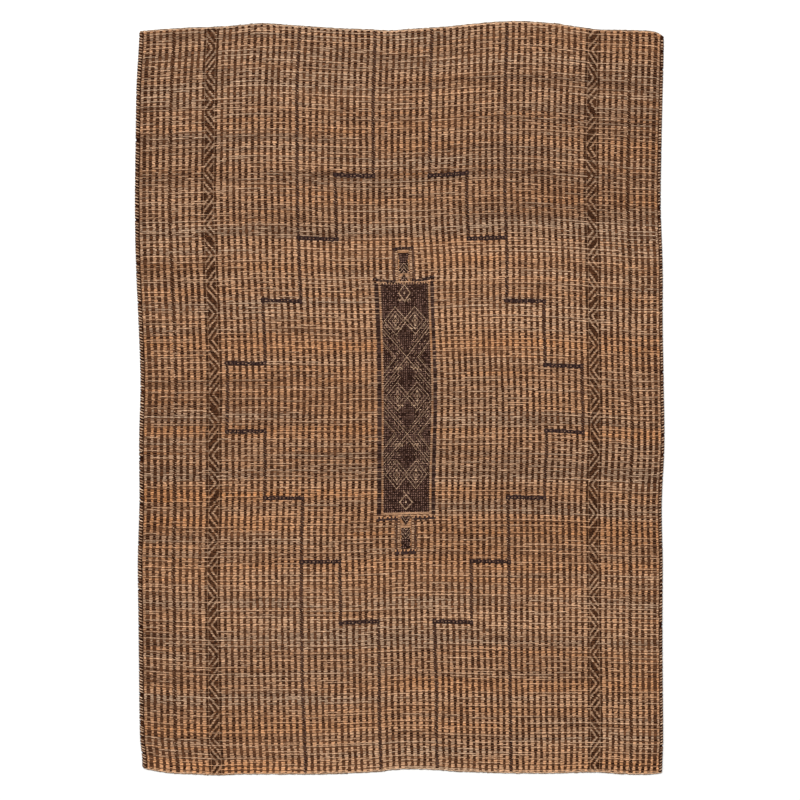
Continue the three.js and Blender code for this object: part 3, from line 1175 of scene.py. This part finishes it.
def dots_of_grooves(chance):
    """The slanting dark yarns of the dotted grooves, and the small tan ones beside them."""
    row, groove = np.nonzero(dotted)
    count = len(row)
    middle = (ribs[row, groove] + ribs[row, groove + 1]) / 2
    along = pick_places[row]
    shade = 0.06 + 0.3 * shade_at(dark_paleness, middle, along) + chance.normal(0, 0.07, count)
    kind = np.where(at_long_line[groove], BROWN, DARK)
    across = middle + 0.8 * chance.normal(0, 1, count)
    along = along + 0.5 * chance.normal(0, 1, count)
    at_finial = np.abs(groove + 0.5 - MIDDLE_RIB) < 2
    length = 4.4 - 1.6 * at_finial + 0.6 * chance.normal(0, 1, count)
    dots = [yarns(kind, across, along, length, 1.9, 4.8, 7.6, shade + 0.12 * at_finial, 0, -2.2)]
    for side, often in ((-1, 0.6), (1, 0.5)):
        shown = chance.random(count) < often * np.where(kind == BROWN, 1, 0.7)
        at, place = across[shown] + side * 4.4, along[shown] + 1.7 * side
        pale = 0.6 + 0.25 * chance.normal(0, 1, len(at))
        dots.append(yarns(TAN, at, place, 1.8, 1.4, LOW_FOOT, 8.0, pale, 0.15))
    return dots


def finial_sides():
    """The narrow tan ribs on both sides of the finials, just inside their dotted grooves."""
    row = np.nonzero(finial_rows())[0]
    chance = np.random.default_rng(92)
    sides = []
    for side in (-1, 1):
        across = rib_at(MIDDLE_RIB + side * 1.5, pick_places[row]) - side * 7.6
        pale = 0.5 + 0.14 * chance.normal(0, 1, len(row))
        length = 3.5 + 0.6 * chance.normal(0, 1, len(row))
        sides.append(yarns(TAN, across, pick_places[row], length, 2.9, LOW_FOOT, 7.9, pale, 0.15))
    return sides


def stepped_lines():
    """The stepped line with its bars and dotted joins, and the dotted lines along the whole rug."""
    chance = np.random.default_rng(91)
    loops = bars(chance)
    dots = [*dots_of_grooves(chance), *finial_sides()]
    parts = ((FULL_YARN, gathered(loops)), (SLIM_YARN, gathered(dots)))
    return woven("stepped_lines", PANEL_FINISHES, *parts)


# The ends and the edges

# The two rows of yarn of a turned end: how far in they lie, half their width, their foot and crest,
# and how far they follow the rounded corners
TURNED_ROWS = ((1.4, 2.2, 0.2, 5.8, 1.0), (4.0, 2.2, 3.4, 8.2, 0.5))


def turned_end(name, end):
    """The plain edge of tan yarns at one end, which closes over the ends of the edge cords."""
    chance = np.random.default_rng(101 if end == "near" else 102)
    direction = -1 if end == "near" else 1
    bundles = []
    for inset, half_width, foot, crest, rounded in TURNED_ROWS:
        left = -RUG_WIDTH / 2 + CORNERS["left", end] * rounded
        right = RUG_WIDTH / 2 - CORNERS["right", end] * rounded
        cuts = left + np.cumsum(chance.uniform(7, 17, 260))
        cuts = np.concatenate([[left], cuts[cuts < right - 5], [right]])
        across = (cuts[:-1] + cuts[1:]) / 2
        count = len(across)
        along = direction * (RUG_LENGTH / 2 - inset + chance.normal(0, 0.4, count))
        length, crest = np.diff(cuts) / 2 + 0.9, crest + chance.normal(0, 0.3, count)
        pale = 0.74 + shade_at(tan_paleness, across, along) + chance.normal(0, 0.13, count)
        rust = 0.45 * rust_share(across, along)
        lean = 0.5 * chance.normal(0, 1, count)
        bundles.append(yarns(TAN, across, along, length, half_width, foot, crest, pale, rust, lean))
    return woven(name, YARN_FINISHES, (FULL_YARN, gathered(bundles)))


WRAP_PITCH = 8.8
CORD_LEAN = 0.35  # how far a wrap moves along for each millimetre across
# The wraps: their kind, how far they are shifted, in wraps, half their width, how high they stand
# up, where they start on their way over the cord, their paleness, and how many of them show
WRAPS = (
    (DARK, 0.0, 2.5, 2.4, 0.06, 0.06, 1.0),
    (TAN, 0.5, 1.7, 2.2, 0.06, 0.5, 0.94),
)


def flat_grid(cells_along, cells_around):
    """A flat grid from -1 to 1 both ways."""
    bm = bmesh.new()
    bmesh.ops.create_grid(bm, x_segments=cells_along, y_segments=cells_around, size=1)
    return points_and_faces(bm)


WRAP = flat_grid(6, 2)


def edge_cord(name, side, width):
    """The yarns wrapped over one edge, dark ones with finer tan ones between them."""
    along_wrap, over_wrap, _ = WRAP[0].T
    length = RUG_LENGTH - 2 * PLAIN_END
    count = round(length / WRAP_PITCH)
    pitch = length / count
    places = (np.arange(count) + 0.5) * pitch - length / 2
    chance = np.random.default_rng(111 if side < 0 else 112)
    parts = []
    for kind, shift, half_width, raised, first, paleness, often in WRAPS:
        along = places + shift * pitch + chance.normal(0, 1.1, count)
        shown = chance.random(count) < often
        along = along[shown & (np.abs(along) < length / 2 - 2)]
        turn = (along_wrap + 1) / 2
        first = first + (0.3 * chance.random((len(along), 1)) if kind == TAN else 0)
        arc = math.pi * (first + (1 - first) * turn)
        out = 0.5 - 0.5 * np.cos(arc)
        bulge = raised * (1 - np.abs(over_wrap))
        from_centre = (out - 0.5) * 0.98 * (1 + bulge / width)
        across = side * (RUG_WIDTH / 2 - width + width * (0.5 + from_centre))
        height = np.maximum(np.sin(arc) * (CORD_HEIGHT - 1.1 + bulge), 0.1)
        lean = CORD_LEAN * width * (out - 0.5)
        at = along[:, None] + lean + over_wrap * half_width
        placed = in_metres(np.broadcast_to(across, at.shape), at, height)
        pale = paleness + 0.2 * chance.normal(0, 1, len(along)) * (1 if kind == TAN else 0.5)
        own = yarns(kind, 0, along, 0, 0, 0, 0, pale, 0.05)
        parts.append((WRAP, placed, own))
    return joined(name, YARN_FINISHES, parts)


def cord_core(name, side, width):
    """The round core that the wraps lie on, as long as the cord."""
    centre = side * (RUG_WIDTH / 2 - width / 2)
    half = RUG_LENGTH / 2 - PLAIN_END
    bm = bmesh.new()
    bmesh.ops.create_cone(bm, cap_ends=True, segments=8, radius1=1, radius2=1, depth=2)
    long_edges = [e for e in bm.edges if abs(e.verts[0].co.z - e.verts[1].co.z) > 1]
    bmesh.ops.subdivide_edges(bm, edges=long_edges, cuts=80, use_grid_fill=False)
    for v in bm.verts:
        across = centre + (v.co.x - 0.25 * side) * (width * 0.4)
        height = (v.co.y + 1) / 2 * (CORD_HEIGHT - 2.2) + 0.1
        along = v.co.z * half
        v.co = in_metres(np.array([across]), np.array([along]), height)[0]
    bmesh.ops.recalc_face_normals(bm, faces=bm.faces[:])
    core = modelled(name, bm, dark_jute)
    core.data.shade_smooth()
    return core


def ground_sheet(name, finish):
    """The ground cloth: a closed sheet of even thickness that follows the rug's own outline."""
    half_width = (RUG_WIDTH - LEFT_CORD_WIDTH - RIGHT_CORD_WIDTH) / 2
    middle = (LEFT_CORD_WIDTH - RIGHT_CORD_WIDTH) / 2
    half_length = RUG_LENGTH / 2 - GROUND_INSET
    bm = bmesh.new()
    bmesh.ops.create_grid(bm, x_segments=56, y_segments=80, size=1)
    grown = bmesh.ops.extrude_face_region(bm, geom=bm.faces[:])
    raised = {v for v in grown["geom"] if isinstance(v, bmesh.types.BMVert)}
    for v in bm.verts:
        across = np.array([v.co.x * half_width + middle])
        along = np.array([v.co.y * half_length])
        v.co = in_metres(across, along, GROUND_TOP if v in raised else 0.0)[0]
    bmesh.ops.recalc_face_normals(bm, faces=bm.faces[:])
    return modelled(name, bm, finish)


ground = ground_sheet("ground_cloth", ground_cloth_finish)
full_yarns, slim_yarns = field_yarns()
rib_strips = in_strips("woven_ribs", 6, full_yarns, slim_yarns)
left_border = side_border("side_border_left", -1, LEFT_TRIANGLES, first_on_left=False)
right_border = side_border("side_border_right", 1, RIGHT_TRIANGLES, first_on_left=True)
panel = centre_panel()
lines = stepped_lines()
near_end = turned_end("turned_end_near", "near")
far_end = turned_end("turned_end_far", "far")
left_cord = edge_cord("overcast_cord_left", -1, LEFT_CORD_WIDTH)
right_cord = edge_cord("overcast_cord_right", 1, RIGHT_CORD_WIDTH)
left_core = cord_core("cord_core_left", -1, LEFT_CORD_WIDTH)
right_core = cord_core("cord_core_right", 1, RIGHT_CORD_WIDTH)

weave = [*rib_strips, left_border, right_border, panel, lines, near_end, far_end]
cords = [left_cord, right_cord, left_core, right_core]
for made in [ground, *weave, *cords]:
    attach(made, "root")
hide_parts("rug_cloth")
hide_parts("edge_cord_left")
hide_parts("edge_cord_right")

# Floor, light and camera, with lengths in metres
FLOOR_REACH = 7  # from its middle to each side
FLOOR_GAP = 0.0002  # under the rug
SKY_STRENGTH = 0.5
SOFTBOX_SIZE = 5
SOFTBOX_POWER = 1150  # watts
SOFTBOX_PLACE = (-2.2, 4.5, 10.5)
FRAME_WIDTH = PHOTO_SIZE * MM_PER_PIXEL * MM  # what the photograph shows, at the height of the weave
CAMERA_PLACE = (0.0012, -0.0055)  # over the middle of the photograph

floor_finish = Finish("pale_floor", 0.85)
speckle = floor_finish.noise((3, 3, 3), 2.0)
floor_colour = floor_finish.mixed(speckle, srgb(246, 246, 245), srgb(250, 250, 249))
floor_finish.done(floor_colour, speckle, 0.0002)
floor_shape = bmesh.new()
bmesh.ops.create_grid(floor_shape, x_segments=1, y_segments=1, size=FLOOR_REACH)
for v in floor_shape.verts:
    v.co.z = -FLOOR_GAP
floor = modelled("floor", floor_shape, floor_finish.material)

world = bpy.data.worlds.new("studio")
world.use_nodes = True
world.node_tree.nodes["Background"].inputs["Color"].default_value = (1, 1, 1, 1)
world.node_tree.nodes["Background"].inputs["Strength"].default_value = SKY_STRENGTH
bpy.context.scene.world = world

key = bpy.data.lights.new("softbox", "AREA")
key.shape = "SQUARE"
key.size = SOFTBOX_SIZE
key.energy = SOFTBOX_POWER
key_light = bpy.data.objects.new("softbox", key)
key_light.location = SOFTBOX_PLACE
key_light.rotation_euler = key_light.location.to_track_quat("Z", "Y").to_euler()
bpy.context.scene.collection.objects.link(key_light)

camera = bpy.data.cameras.new("camera")
camera.lens = 100
camera.sensor_width = 36
camera_stand = bpy.data.objects.new("camera", camera)
distance = FRAME_WIDTH * camera.lens / camera.sensor_width
camera_stand.location = (*CAMERA_PLACE, distance + CLOTH_THICKNESS * MM)
bpy.context.scene.collection.objects.link(camera_stand)
bpy.context.scene.camera = camera_stand
bpy.context.scene.view_settings.view_transform = "Standard"
